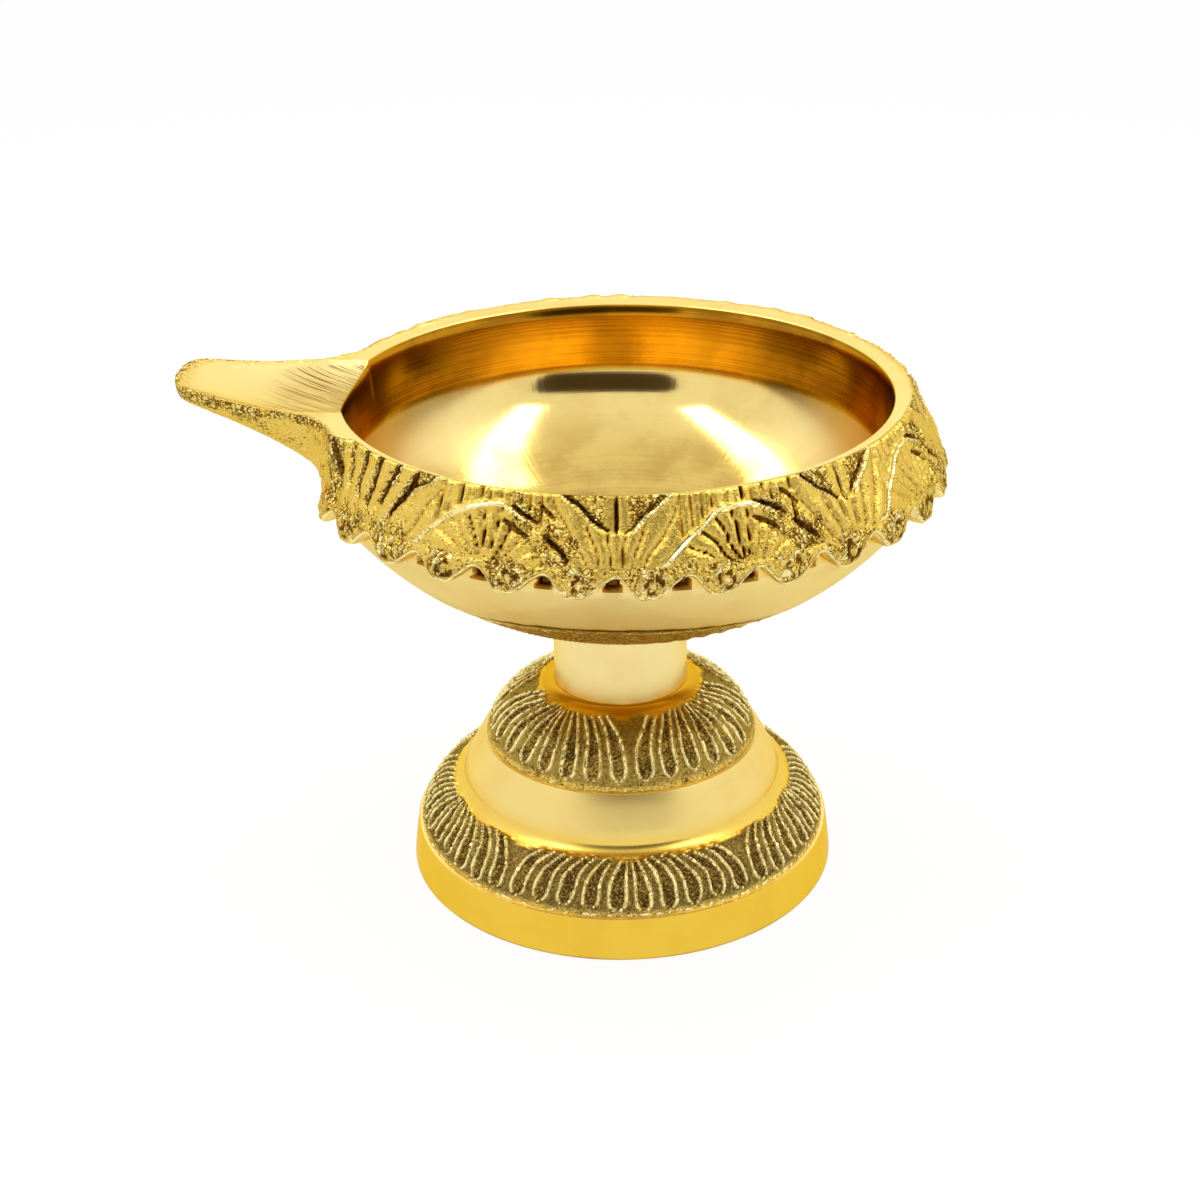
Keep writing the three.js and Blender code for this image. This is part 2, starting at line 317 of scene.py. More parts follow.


# Turned surface: lathe rings, faint cloudiness, and streaks where the tool ran along the spout, with a warm
# tint of painted reflection and a brown film that is old oil and painted shade. Gives its colour, roughness
# and height.
def paintTurned(paint, spot, marks):
    look = brassFinish
    warm, film, groove, mirror = (marks[name] for name in ("warm", "film", "groove", "mirror"))
    across, deep, upright = paint.split(spot)
    across = across - stemAxis.x / mm
    deep = deep - stemAxis.y / mm
    radius = (across * across + deep * deep) ** 0.5
    fine, circle = look["ringsPerMm"], look["spokeCircle"]
    rings = paint.noise(paint.join(radius * fine, upright * fine, 0.0), detail=4)
    acrossFile, deepFile = look["fileAcross"]
    filed = (deep * deepFile + across * acrossFile) * look["filePerMm"]
    streaks = paint.noise(paint.join(across * 0.08, filed, 0.0), detail=3)
    spoke = paint.join(across / radius * circle, deep / radius * circle, radius * 0.02)
    spokes = paint.noise(spoke, detail=2)
    cloud = paint.noise(spot, look["cloudScale"], detail=4)
    # yellow to orange with the warm mark: painted reflection
    colour = paint.mix(warm.between(0.0, 0.5), look["polished"], look["yellow"])
    colour = paint.mix(warm.between(0.5, 1.0), colour, look["warm"])
    colour = paint.mix(cloud.between(0.42, 0.80) * 0.20, colour, look["warm"])
    colour = paint.mix(rings.between(0.55, 0.75) * (0.07 + warm * 0.13), colour, look["warm"])
    bands = (cloud + (rings - 0.5) * warm).between(0.38, 0.64)
    colour = paint.mix(film * (0.45 + bands * 0.55), colour, look["film"])
    colour = paint.mix(groove * streaks.between(0.48, 0.60), colour, look["film"])
    roughness = look["satinRoughness"] - mirror * (look["satinRoughness"] - look["mirrorRoughness"])
    height = rings * look["ringHeight"] + spokes * mirror * look["spokeHeight"]
    return colour, roughness + cloud * 0.05, height


# Sand-cast skin: smooth with a few pits, wormy where they crowd, and dark patina between the petals, with
# painted highlights on bright grains, curls and raised lines and painted shade in the deep cuts. Gives its
# colour, roughness and height.
def paintSkin(paint, spot, marks):
    look = brassFinish
    patina, pitted, crest, groove = (marks[name] for name in ("patina", "pitted", "crest", "groove"))
    grain = paint.noise(spot, look["grainScale"], detail=2, roughness=0.6)
    blotch = paint.noise(spot, look["blotchScale"], detail=3)
    worm = paint.noise(spot, look["wormScale"], detail=1.5, roughness=0.5, distortion=0.4)
    crowd = (pitted + (blotch - 0.62) * 1.3).between(0.0, 1.0)
    curl = ((worm - 0.5) ** 2) ** 0.5  # from 0 to about a sixth
    cuts = (1 - curl.between(0.012 + crowd * 0.022, 0.040 + crowd * 0.045)) * crowd.between(0.22, 0.50)
    few = 0.28 + crowd.between(0.0, 0.3) * 0.10
    dots = 1 - grain.between(few, few + 0.05)
    pits = cuts.sum("MAXIMUM", cuts, dots)
    # painted highlight on bright grains and curls
    colour = paint.mix(grain.between(0.45, 0.75) * 0.5, look["casting"], look["paintedHighlight"])
    colour = paint.mix((curl * crowd * 6).between(0.25, 0.75) * 0.7, colour, look["paintedHighlight"])
    colour = paint.mix(marks["warm"] * 0.5, colour, look["warm"])
    colour = paint.mix(pits * 0.9, colour, look["pit"])
    dark = (1 - grain.between(0.40, 0.60)) * (0.20 + pitted) * (0.50 + blotch)
    ground = paint.mix(dark, look["ground"], look["groundDark"])
    ground = paint.mix(grain.between(0.55, 0.68) * pitted, ground, look["casting"])
    colour = paint.mix(patina, colour, ground)
    colour = paint.mix(groove * 0.95, colour, look["pit"])
    colour = paint.mix(crest, colour, look["paintedHighlight"])
    roughness = look["castRoughness"] + patina * 0.12 - crest * 0.16
    height = (1 - pits) * look["pitDepth"] + grain * look["grainHeight"]
    return colour, roughness, height + curl * crowd * look["curlHeight"] * 6


def paintBrass(name):
    paint = Paint(bpy.data.materials.new(name))
    spot = paint.place()
    marks = {layer: paint.layer(layer) for layer in brassLayers}
    marks["crest"] = marks["crest"].between(0.18, 0.72)
    marks["groove"] = marks["groove"].between(0.18, 0.55)
    cast = marks["cast"]
    turned, turnedRoughness, turnedHeight = paintTurned(paint, spot, marks)
    skin, skinRoughness, skinHeight = paintSkin(paint, spot, marks)
    colour = paint.mix(cast, turned, skin)
    roughness = cast * skinRoughness + (1 - cast) * turnedRoughness
    height = cast * skinHeight * (1 - marks["crest"] * 0.8) + (1 - cast) * turnedHeight
    bump = paint.node("ShaderNodeBump", None, {"Strength": 1.0, "Distance": mm, "Height": height})
    surface = paint.node("ShaderNodeBsdfPrincipled", None, {
        "Base Color": colour, "Metallic": 1.0, "Roughness": roughness, "Normal": bump,
        "Specular Tint": opaque(brassFinish["grazing"]),
    })
    return paint.finish(surface)


# Turned forms

# Spins a profile of rows, each a radius and a height in mm, once round; a corner keeps its row's number
def spinRows(rows, sectors, sectorSteps):
    form = bmesh.new()
    rowLayer = form.verts.layers.int.new("row")
    corners = []
    for number, row in enumerate(rows):
        corner = form.verts.new((row["radius"], 0, row["height"]))
        corner[rowLayer] = number
        corners.append(corner)
    edges = [form.edges.new(pair) for pair in zip(corners, corners[1:])]
    sector = math.tau / sectors
    turn = {"cent": (0, 0, 0), "axis": (0, 0, 1)}
    bmesh.ops.spin(form, geom=corners + edges, angle=sector, steps=sectorSteps, **turn)
    whole = form.verts[:] + form.edges[:] + form.faces[:]
    bmesh.ops.spin(form, geom=whole, angle=math.tau - sector, steps=sectors - 1, use_duplicate=True, **turn)
    bmesh.ops.remove_doubles(form, verts=form.verts[:], dist=1e-5)
    bmesh.ops.recalc_face_normals(form, faces=form.faces[:])
    return form


# Adds evenly spaced rows from the last one to (radius, height); bulge bows them out, right of the way they go
def runRows(rows, radius, height, spacing, bulge=0.0, **marks):
    start = rows[-1]
    span = Vector((radius - start["radius"], height - start["height"]))
    count = max(1, round((span.length + abs(bulge)) / spacing))
    side = Vector((span.y, -span.x)).normalized() * bulge if bulge else Vector((0, 0))
    for step in range(1, count + 1):
        along = step / count
        point = Vector((start["radius"], start["height"])) + span * along + side * 4 * along * (1 - along)
        rows.append({"radius": point.x, "height": point.y, "along": along, **marks})


# Rows of an outline that starts on the axis: runs to a radius and height, each with its spacing and its marks
def outlineRows(start, outline):
    rows = [{"radius": 0.0, "height": start, "along": 0}]
    for radius, height, spacing, marks in outline:
        runRows(rows, radius, height, spacing, **marks)
    return rows


# Each row's outward direction in the profile's plane, for relief
def faceRows(rows):
    for number, row in enumerate(rows):
        before = rows[max(number - 1, 0)]
        after = rows[min(number + 1, len(rows) - 1)]
        way = Vector((after["radius"] - before["radius"], after["height"] - before["height"])).normalized()
        row["outward"] = Vector((way.y, -way.x))


def eased(value, low, high):
    share = min(max((value - low) / (high - low), 0.0), 1.0)
    return share * share * (3 - 2 * share)


def ridge(distance, width):
    return math.exp(-((distance / width) ** 2))


sharpAngle = 40  # degrees between two faces past which their edge shows sharp


# Brings a form from mm to metres over the stem's axis and makes it a piece, smooth but for its sharp edges
def settle(form, name, body, nodeName, material):
    bmesh.ops.scale(form, vec=(mm, mm, mm), verts=form.verts[:])
    bmesh.ops.translate(form, vec=stemAxis, verts=form.verts[:])
    sharp = math.radians(sharpAngle)
    for edge in form.edges:
        edge.smooth = not edge.is_manifold or edge.calc_face_angle(0) < sharp
    for face in form.faces:
        face.smooth = True
    mesh = bpy.data.meshes.new(name)
    form.to_mesh(mesh)
    form.free()
    piece = bpy.data.objects.new(name, mesh)
    bpy.context.scene.collection.objects.link(piece)
    mesh.materials.append(material)
    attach(piece, body)
    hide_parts(nodeName)
    print(name, "made,", len(mesh.polygons), "faces")


# Stand: turned casting with two tiers of petals

petalSpacing = 0.36  # mm between rows where there are petals

standLook = {
    "sectors": 40,
    "sectorSteps": 19,
    "roofHeight": 23.3,
    "outline": [  # from the middle of the hollow's roof: radius, height, spacing, bulge and marks
        (8.3, 23.3, 3, {}),  # hollow
        (16.5, 17.8, 2.5, {"bulge": -1.5}),
        (19.7, 12.3, 3, {}),
        (20.9, 10.8, 3, {}),
        (26.5, 4.6, 2.5, {"bulge": -0.8}),
        (27.3, 0.0, 3, {}),
        (29.8, 0.0, 1.5, {}),  # foot band
        # warm on the foot band, the waist, the coves and the stem is painted reflection
        (30.2, 0.1, 0.4, {"warm": 0.5, "film": 0.9}),
        (30.3, 0.22, 0.3, {"warm": 0.5, "film": 0.7}),
        (30.29, 0.45, 0.3, {"warm": 0.54}),
        (29.55, 5.7, 1.6, {"bulge": 0.06, "warm": 0.54}),
        (29.42, 5.98, 0.2, {"warm": 0.40}),
        (29.05, 6.02, 0.2, {}),
        (23.75, 12.2, petalSpacing, {"bulge": 0.8, "zone": "lower"}),  # lower dome and its cove
        (22.55, 13.3, 0.25, {"bulge": -0.12, "warm": 0.34, "mirror": 0.3}),
        (22.5, 13.75, 0.3, {"warm": 0.3}),  # waist band
        (19.72, 18.95, 1.4, {"bulge": 0.05, "warm": 0.2}),
        (19.55, 19.17, 0.2, {"warm": 0.2}),
        (19.2, 19.17, 0.2, {}),
        (11.15, 26.7, petalSpacing, {"bulge": 1.5, "zone": "upper"}),  # upper dome and its cove
        (9.5, 27.2, 0.25, {"bulge": -0.12, "warm": 0.80, "mirror": 0.5}),
        (9.35, 27.35, 0.3, {"warm": 0.8, "film": 0.6}),  # stem
        (9.35, 27.6, 0.3, {}),
        (9.35, 37.55, 2.4, {}),
        (9.2, 37.9, 0.3, {}),
        (8.95, 38.0, 0.3, {}),
        (4.3, 38.0, 2.4, {}),  # stud's hole
        (4.3, 27.7, 5, {}),
        (0.0, 27.7, 5, {}),
    ],
    # Each tier: its fans and the petals in one, degrees at which the first fan starts, how the petals spread,
    # gather and lean at the top, half width and end of a petal's loop as shares, heights and line width in
    # mm, and how dark the ground, how strong the amber of the cove is, a painted reflection, and how far down
    # the tier's top it reaches, and how many bright grains the lip has, a painted highlight
    "lower": {
        "fans": 5, "petals": 10, "start": -121.0, "topSpread": 0.82, "gather": 0.30, "curl": 4.0,
        "loop": 0.58, "ends": 0.87, "crest": 0.44, "ground": 0.18, "line": 0.22,
        "patina": 1.0, "reflectionReach": 0.14, "coveReflection": 0.4, "lip": 0.9,
    },
    "upper": {
        "fans": 4, "petals": 8, "start": -82.6, "topSpread": 0.74, "gather": 0.36, "curl": 3.5,
        "loop": 0.58, "ends": 0.86, "crest": 0.42, "ground": 0.18, "line": 0.24,
        "patina": 0.72, "reflectionReach": 0.32, "coveReflection": 0.72, "lip": 0.45,
    },
    "polishCut": 0.05,  # share of a tier that the polished cove eats into, unevenly
}


# Relief of a tier of petals: height in mm, crest, the raised line that also gets a painted highlight, how far
# inside a petal, and groove, a painted shadow just inside the outline. down runs from 0 at the tier's top to
# 1 at its foot. A petal is an outlined loop that springs from its fan's top, runs sideways and then down.
def petalRelief(look, angle, down, radius):
    span = 360 / look["fans"]
    wobble = noise.noise(Vector((math.radians(angle) * 9, down * 3, look["fans"]))) * 0.018
    turned = ((angle - look["start"]) % 360) / span
    fan = int(turned)
    off = (turned - fan - 0.5) * 2
    curl = (1 - min(down, 1)) ** look["curl"]  # 1 at the top, where the petals lean together
    spread = 1 - (1 - look["topSpread"]) * curl
    leaned = math.copysign((abs(off) / spread) ** (1 - look["gather"] * curl), off)
    place = (leaned + wobble + 1) / 2 * look["petals"]
    petal = math.floor(place)
    if not 0 <= petal < look["petals"]:
        return 0.0, 0.0, 0.0, 0.0
    chance = noise.noise(Vector((fan * 7.3, petal * 3.1, look["fans"])))
    inPetal = abs(place - petal - 0.5) * 2
    mmAcross = math.radians(span / 2) * radius * spread / look["petals"]
    end = look["ends"] + chance * 0.08
    openness = look["loop"] * (0.85 + 0.15 * eased(down, 0.1, 0.6))
    cap = 0.16
    fall = min(max((down - (end - cap)) / cap, 0.0), 1.0)
    loop = openness * math.sqrt(max(1 - fall ** 2.4, 0.0))
    beyond = max(down - end, 0.0) * 9.0
    edge = math.hypot((inPetal - loop) * mmAcross, beyond)
    ragged = noise.noise(Vector((math.radians(angle) * 34, down * 14, 3.0)))
    crest = ridge(edge + 0.10 * ragged, look["line"] * (1 + 0.35 * chance + 0.5 * ragged))
    crest *= 1 - 0.55 * eased(ragged, 0.0, 0.5)
    hollow = 1 - (inPetal / loop) ** 2 if inPetal < loop else 0.0
    groove = ridge((loop - inPetal) * mmAcross - 0.5, 0.22) * eased(hollow, 0.0, 0.3)
    rise = look["crest"] * crest + look["ground"] * (0.3 - 0.5 * hollow)
    return rise, crest, eased(hollow, 0.0, 0.4), groove


def newLayers(form):
    return {name: form.verts.layers.float.new(name) for name in brassLayers}


def carveStand(form, rows):
    rowLayer = form.verts.layers.int["row"]
    layers = newLayers(form)
    for corner in form.verts:
        row = rows[corner[rowLayer]]
        corner[layers["warm"]] = row.get("warm", 0.0)
        corner[layers["mirror"]] = row.get("mirror", 0.0)
        corner[layers["film"]] = row.get("film", 0.0)
        if row.get("zone") is None:
            continue
        look = standLook[row["zone"]]
        angle = math.degrees(math.atan2(corner.co.y, corner.co.x))
        down = 1 - row["along"]
        rise, crest, inside, groove = petalRelief(look, angle, down, row["radius"])
        uneven = noise.noise(Vector((math.radians(angle) * 5, 0, look["fans"])))
        eaten = standLook["polishCut"] * (1 + 1.3 * uneven)
        skin = eased(down, eaten * 0.55, eaten * 1.3)
        rough = noise.noise(Vector(corner.co) * 1.9) * 0.13 + noise.noise(Vector(corner.co) * 4.1) * 0.08
        lip = eased(down, 0.90, 0.95)
        fade = skin * (1 - eased(down, 0.985, 1.0))
        # bright grains on the lip, coloured as painted highlight
        grains = look["lip"] * lip * eased(noise.noise(Vector(corner.co) * 2.6), -0.15, 0.25)
        shift = row["outward"] * ((rise + rough) * fade - look["ground"] * eased(down, 0.0, 0.1) * (1 - lip))
        flat = Vector((corner.co.x, corner.co.y, 0)).normalized()
        corner.co += flat * shift.x + Vector((0, 0, shift.y))
        marks = {
            "cast": skin, "patina": look["patina"] * skin * (1 - 0.9 * crest) * (1 - 0.95 * lip),
            "crest": max(crest * skin * (1 - lip), grains), "mirror": 0.4 * (1 - skin),
            "groove": 0.30 * max(groove * skin * (1 - lip), lip - grains),
            "pitted": (0.34 + 0.26 * inside) * skin * (1 - lip) + 0.4 * lip,
            # amber of the polished cove, fading into the tier's top: painted reflection of the metal in
            # itself
            "warm": look["coveReflection"] * (1 - skin * eased(down, 0.02, look["reflectionReach"])),
        }
        for name, mark in marks.items():
            corner[layers[name]] = mark


standBrass = paintBrass("standBrass")


def makeStand():
    rows = outlineRows(standLook["roofHeight"], standLook["outline"])
    faceRows(rows)
    form = spinRows(rows, standLook["sectors"], standLook["sectorSteps"])
    carveStand(form, rows)
    settle(form, "standCasting", "stand", "stand", standBrass)


makeStand()


# Bowl: casting with a lobed hem and a spout, turned inside

bowlLook = {
    "sectors": 40,
    "sectorSteps": 19,
    "spoutGather": 0.6,  # how far the columns draw together towards the spout
    "gatherAngle": 45.0,
    "castShift": Vector((0.8, 1.8)),  # the casting's outside stands this far off the stem's axis
    "rimShift": Vector((0.1, 2.1)),
    "rimHeight": 70.0,
    "rimRadius": 38.6,
    "rimLean": 0.45,  # mm by which the rim's back stands over its middle
    "leanFoot": 60,  # height at which the lean sets in
    "rimDrift": 0.45,  # how unevenly the cast edge of the rim runs
    "rimBump": 0.35,
    "boreRadius": 36.2,
    "boreChamfer": 0.22,
    "boreFoot": 61.6,
    "boreDraft": 0.9,
    "floor": [(33.4, 51.4), (22.5, 46.2)],  # handles of the floor's curve
    "floorHeight": 44.4,
    "floorRows": 18,
    "wallFilmAndShade": 0.53,  # how thick the brown is on wall and floor: old oil film and painted shade of what they mirror
    "floorFilmAndShade": 0.42,
    "litPatches": [(-0.41, 0.15), (0.18, 0.17)],  # where across the wall a painted highlight of the lamps thins the brown, and how wide
    # painted reflection tint on the floor of the bowl
    "floorReflectionTint": 0.26,
    "brushed": (0.5, 0.85),  # how far across the cove is left brushed at both sides, where its colour is also painted lighter
    "holeTop": 43.0,
    "boss": [  # outline from the top of the stud's hole: radius, height, spacing, marks
        (4.3, 43.0, 5, {}), (4.3, 38.0, 5, {}), (10.6, 38.0, 4, {}),
        (10.87, 38.1, 0.3, {}), (11.0, 38.4, 0.3, {}), (11.05, 39.0, 0.6, {}),
    ],
    "belly": [(11.3, 39.1), (24.0, 40.8), (34.0, 48.0), (40.75, 58.35)],  # its curve, ends and handles
    "spacing": {"skirt": 0.32, "top": 0.27, "chamfer": 0.3, "wall": 1.8},
    "castNoise": 0.10,
    "spoutPitted": 0.34,
}

bellyLook = {
    "curls": 54,
    "slant": 0.30,  # curls by which they lean over one mm
    "edge": 28,  # radius to which the skin was left as cast at the back
    "edgeFront": 6,  # how much wider it is at the front
    "edgeLine": 0.45,
    "curlWidth": 0.42,
    "curlHeight": 0.18,
    "sunk": 0.26,
    "brushed": -0.6,
}

hemLook = {
    "outline": [(41.4, 58.25), (42.0, 58.15), (42.5, 58.3), (42.85, 58.8), (42.95, 59.6), (42.8, 60.3),
                (42.5, 61.1), (42.15, 61.9)],
    "spacing": 0.34,
    "recessTop": 58.9,
    "recessSpacing": 0.11,
    "radius": 43.3,  # where the rosettes are laid out
    "lobes": 30,
    "phase": 2.5,
    "bottom": 58.15,
    "top": 61.9,
    "notchRise": 2.3,
    "lowPlace": 0.40,  # where in a lobe its edge hangs lowest; 0 and 1 are the notches
    "holeHalf": 0.10,  # share of a lobe's width
    "holePlace": 0.94,
    "holeDepth": 1.5,
    "lobeIn": 0.9,
    "lobeOut": 0.15,
    "lineWidth": 0.22,
    "lineHeight": 0.24,
    "gapAngle": 30.0,  # degrees on each side of the spout where the hem tucks away
    "gapTuck": 2.4,
    "rosetteHeight": 60.1,
    "ring": 1.6,
    "ringWidth": 0.36,
    "ringHeight": 0.26,
}

spoutLook = {
    "reach": 58.33,
    "neck": 40.0,
    "halfWidths": [(34.0, 20.0), (34.8, 18.0), (36.5, 14.5), (39.3, 11.6), (44.5, 9.8), (49.3, 8.3),
                   (54.0, 7.0), (58.4, 5.6)],
    "tipRound": 3.6,
    "tipBlunt": 0.975,
    "rise": 2.0,
    "underside": [(58.4, 69.1), (44.5, 64.6), (34.0, 57.4)],
    "blend": 2.6,
    "searchFrom": 20,  # reach, well inside the bowl, from which its outline is looked for
    "joinFull": 27,  # degrees off the spout's line within which its sides show, and past which they don't
    "joinEnd": 34,
    "channelLand": 1.3,
    "channelDepth": 1.9,
    "channelStart": 28,
    "channelEnd": 56.0,
    "fileMarks": ((30, 34), (38, 55)),  # reaches over which the channel's streaks set in and fade
    "castLand": ((36, 39), (52, 57)),  # and those of the cast skin on the land beside it
    "sideAngle": 28,  # degrees off the spout's line within which the skirt's ornament gives way to its sides
}

skirtLook = {
    "radius": 41.6,  # where the leaves are laid out
    "arches": [-152.5, -110.0, -67.5, -25.0, 17.5, 60.0, 102.5, 145.0],  # degrees round the casting
    "archHalf": 10.0,
    "archHeight": 6.2,
    "archLine": 0.30,
    # Gouges along an arch's right side, painted dark as shade: mm above its line, start, end, width
    "gouges": [(0.5, 2.0, 6.2, 0.26), (0.35, 6.6, 9.8, 0.34), (-1.45, 1.4, 4.8, 0.34), (2.4, 5.6, 8.2, 0.26)],
    "ribsHalf": 7.6,
    "leafAngle": 17.0,
    "bladeAngle": 13.0,
    "ribWidth": 1.35,
    "palmFrom": 126.0,
    "palmCentre": 138.0,
    "palmLeaf": 12.5,
    "lotusFrom": 15.4,  # mm from an arch's middle to the middle of a lotus
    "wedgeSlope": 0.72,
    "relief": 0.54,
    "wobble": 0.40,
}


# Reads a table of (place, value) pairs at a place between them
def readTable(table, value):
    for (low, first), (high, second) in zip(table, table[1:]):
        if value <= high:
            share = max(value - low, 0) / (high - low)
            return first + (second - first) * share
    return table[-1][1]


def spoutHalfWidth(reach):
    look = spoutLook
    into = min(max((reach - look["reach"] + look["tipRound"]) / look["tipRound"], 0), 1) * look["tipBlunt"]
    return readTable(look["halfWidths"], reach) * math.sqrt(1 - into ** 4)


def spoutTop(reach):
    look = spoutLook
    along = max((reach - look["neck"]) / (look["reach"] - look["neck"]), 0)
    return bowlLook["rimHeight"] + look["rise"] * along ** 2


def bezier(points, t):
    last = len(points) - 1
    spot = Vector((0, 0))
    for k, point in enumerate(points):
        spot += Vector(point) * math.comb(last, k) * t ** k * (1 - t) ** (last - k)
    return spot


undersideTable = sorted(tuple(bezier(spoutLook["underside"], step / 40)) for step in range(41))


def spoutUnderside(reach, across):
    top = spoutTop(reach)
    share = min(across / max(spoutHalfWidth(reach), 0.01), 1)
    return top - (top - readTable(undersideTable, reach)) * math.sqrt(1 - share ** 3)


# How far a spot of the spout's top lies inside the channel: 0 at its edge, 1 in its middle
def inChannel(x, y):
    look = spoutLook
    if not look["channelStart"] < -x < look["channelEnd"]:
        return 0.0
    half = spoutHalfWidth(max(-x, look["neck"])) - look["channelLand"]
    return max(1 - (y / half) ** 2, 0.0) if half > 0 else 0.0


def topHeight(x, y):
    look = spoutLook
    fade = min((look["channelEnd"] + x) / (look["channelEnd"] - bowlLook["boreRadius"]), 1)
    return spoutTop(-x) - look["channelDepth"] * max(fade, 0) ** 0.8 * inChannel(x, y) ** 0.6


# Distance from the stem's axis, in one direction, of a circle that stands off it by a shift
def shiftedReach(radius, way, shift):
    lean = shift.dot(way)
    return lean + math.sqrt(radius * radius - shift.length_squared + lean * lean)


def castReach(radius, way):
    return shiftedReach(radius, way, bowlLook["castShift"])


def rimReach(way):
    look = bowlLook
    drift = noise.noise(Vector((way.x * 4.2, way.y * 4.2, 5.0))) * look["rimDrift"]
    drift += noise.noise(Vector((way.x * 13, way.y * 13, 8.0))) * look["rimDrift"] * 0.6
    return shiftedReach(look["rimRadius"], way, look["rimShift"]) + drift * eased(way.y, -0.9, 0.2)


def bisect(test, low, high):
    for _ in range(22):
        middle = (low + high) / 2
        low, high = (middle, high) if test(middle) else (low, middle)
    return low


def softMax(first, second, blend):
    return (first + second + math.sqrt((first - second) ** 2 + blend * blend)) / 2


# Points at even distances along a line of points
def spaceOut(points, count):
    lengths = [0]
    for before, after in zip(points, points[1:]):
        lengths.append(lengths[-1] + math.dist(before, after))
    spaced = []
    place = 0
    for step in range(count + 1):
        goal = lengths[-1] * step / count
        while place < len(lengths) - 2 and lengths[place + 1] < goal:
            place += 1
        share = (goal - lengths[place]) / max(lengths[place + 1] - lengths[place], 1e-9)
        before, after = points[place], points[place + 1]
        spaced.append(tuple(before[k] + (after[k] - before[k]) * min(share, 1) for k in (0, 1)))
    return spaced


# Outside of the bowl between hem and rim in one direction: evenly spaced (reach, height) points
def sideProfile(way, hem, low, count):
    spout = spoutLook
    off = abs(math.atan2(way.y, -way.x))
    rim = rimReach(way)
    high = bowlLook["rimHeight"]
    if off > math.radians(spout["joinEnd"]):
        shares = [step / count for step in range(count + 1)]
        return [(hem + (rim - hem) * share, low + (high - low) * share) for share in shares]
    lengthwise, sideways = math.cos(off), math.sin(off)
    tip = spout["reach"] / lengthwise
    inner = spout["searchFrom"]
    edge = bisect(lambda reach: spoutHalfWidth(reach * lengthwise) > reach * sideways, inner, tip)
    rimEdge = softMax(rim, edge, 0.6)
    top = spoutTop(rimEdge * lengthwise)
    fade = 1 - eased(math.degrees(off), spout["joinFull"], spout["joinEnd"])
    points = []
    steps = 120
    for step in range(steps + 1):
        height = low + (top - low) * step / steps
        plain = hem + (rim - hem) * min((height - low) / (high - low), 1)
        beak = bisect(
            lambda reach: spoutUnderside(reach * lengthwise, reach * sideways) <= height, inner, edge,
        )
        joined = softMax(plain, beak, spout["blend"] * (1 - 0.8 * step / steps))
        points.append((plain + (min(joined, rimEdge + 0.05) - plain) * fade, height))
    return spaceOut(points, count)


def curveRows(rows, points, times, zone):
    for t in times:
        point = bezier(points, t)
        rows.append({"radius": point.x, "height": point.y, "along": t, "zone": zone})


def bowlRows():
    look, every = bowlLook, bowlLook["spacing"]
    rows = outlineRows(look["holeTop"], look["boss"])
    ring = [0.16 + 0.58 * step / 30 for step in range(31)]  # closer where the ring of curls is
    curveRows(rows, look["belly"], [0.06, 0.12, *ring, 0.80, 0.86, 0.91, 0.96, 1.0], "belly")
    runRows(rows, look["belly"][-1][0], hemLook["recessTop"], hemLook["recessSpacing"], zone="recess")
    start = len(rows)
    for radius, height in hemLook["outline"]:
        runRows(rows, radius, height, hemLook["spacing"], zone="hem")
    hem = rows[start:]
    for number, row in enumerate(hem, 1):
        row["along"] = number / len(hem)
    chamfer = look["boreChamfer"]
    runRows(rows, look["rimRadius"], look["rimHeight"], every["skirt"], zone="skirt")
    runRows(rows, look["boreRadius"] + chamfer, look["rimHeight"], every["top"], zone="top")
    runRows(rows, look["boreRadius"], look["rimHeight"] - chamfer, every["chamfer"], zone="chamfer")
    foot = (look["boreRadius"] - look["boreDraft"], look["boreFoot"])
    runRows(rows, *foot, every["wall"], zone="wall")
    floor = [foot, *look["floor"], (0.0, look["floorHeight"])]
    count = look["floorRows"]
    curveRows(rows, floor, [(step / count) ** 1.5 for step in range(1, count + 1)], "floor")
    faceRows(rows)
    return rows


def lastRow(rows, zone):
    return [row for row in rows if row.get("zone") == zone][-1]


# 1 where the hem tucks away beside the spout
def hemGap(angle):
    off = 180 - abs(angle)
    return eased(1 - off / hemLook["gapAngle"], 0, 0.6)


# Where in its lobe an angle falls
def lobePlace(angle):
    return ((angle - hemLook["phase"]) * hemLook["lobes"] / 360 + 0.5) % 1


# How a lobe's edge climbs at an angle: 0 where it hangs lowest, 1 at the notches
def lobeClimb(angle):
    low, place = hemLook["lowPlace"], lobePlace(angle)
    climb = (low - place) / low if place < low else (place - low) / (1 - low)
    return eased(climb, 0.15, 1.0)


# How far off the next hole is, as a share of a lobe's width
def holeOff(angle):
    return abs((lobePlace(angle) - hemLook["holePlace"] + 0.5) % 1 - 0.5)


